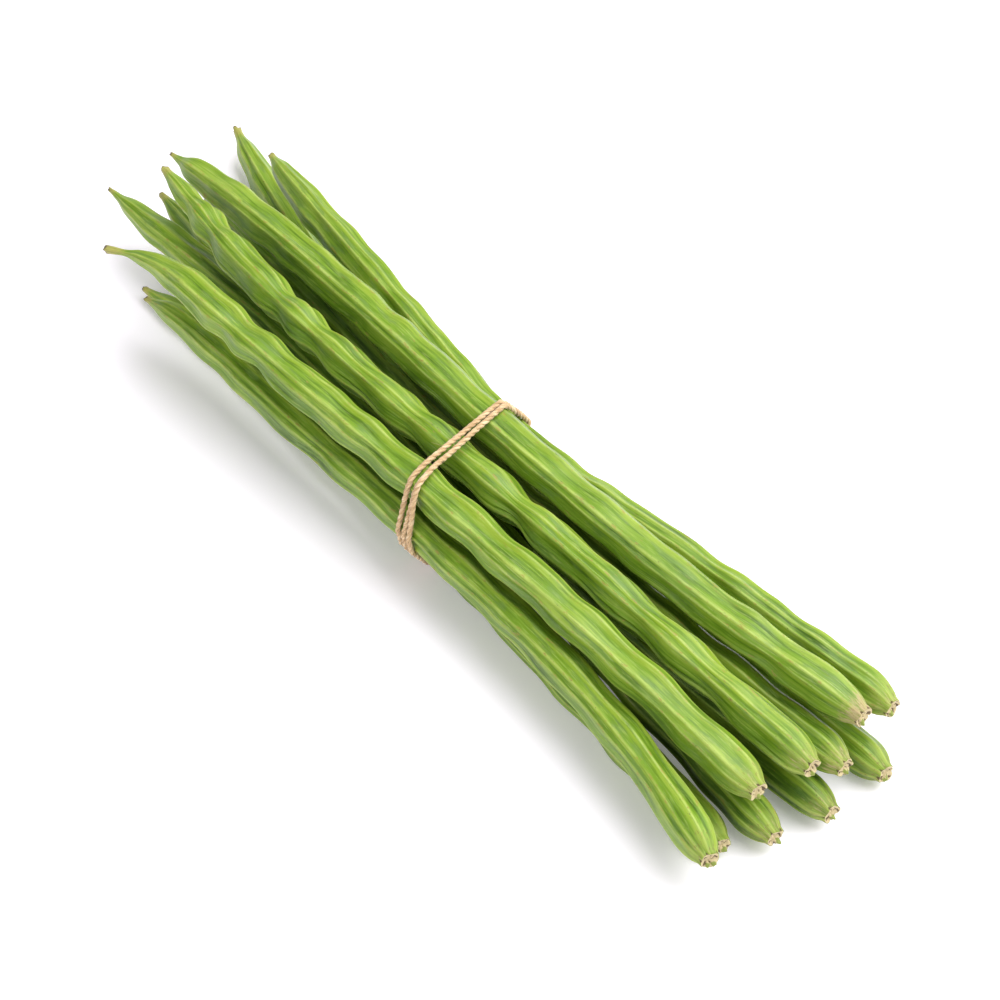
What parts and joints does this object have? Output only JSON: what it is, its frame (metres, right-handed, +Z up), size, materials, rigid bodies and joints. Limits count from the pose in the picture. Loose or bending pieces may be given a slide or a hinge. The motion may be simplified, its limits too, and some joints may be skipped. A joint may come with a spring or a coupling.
{
  "type": "bunch of moringa pods",
  "caption": "Bunch of long ribbed green moringa pods with cut stem ends and beaked tips, lying down, tied round the middle with natural twine.",
  "frame": {"origin": "centre of the bunch's box, on the surface that it lies on", "axes": "+X along the bunch towards the cut stem ends, +Y across it, +Z up"},
  "size_m": [0.4866, 0.1184, 0.0591],
  "materials": {
    "pod_skin": "fresh green pod skin, satin and slightly waxy",
    "twine": "rough natural plant fibre"
  },
  "bodies": {
    "root": {"pod_left_middle": "pod_skin", "pod_left_bottom": "pod_skin", "pod_left_top": "pod_skin", "pod_centre_top": "pod_skin", "pod_right_top": "pod_skin", "pod_right_outer": "pod_skin", "pod_right_bottom": "pod_skin", "pod_centre_left": "pod_skin", "pod_centre_bottom": "pod_skin", "pod_centre_right": "pod_skin", "twine_tie": "twine"}
  },
  "joints": []
}
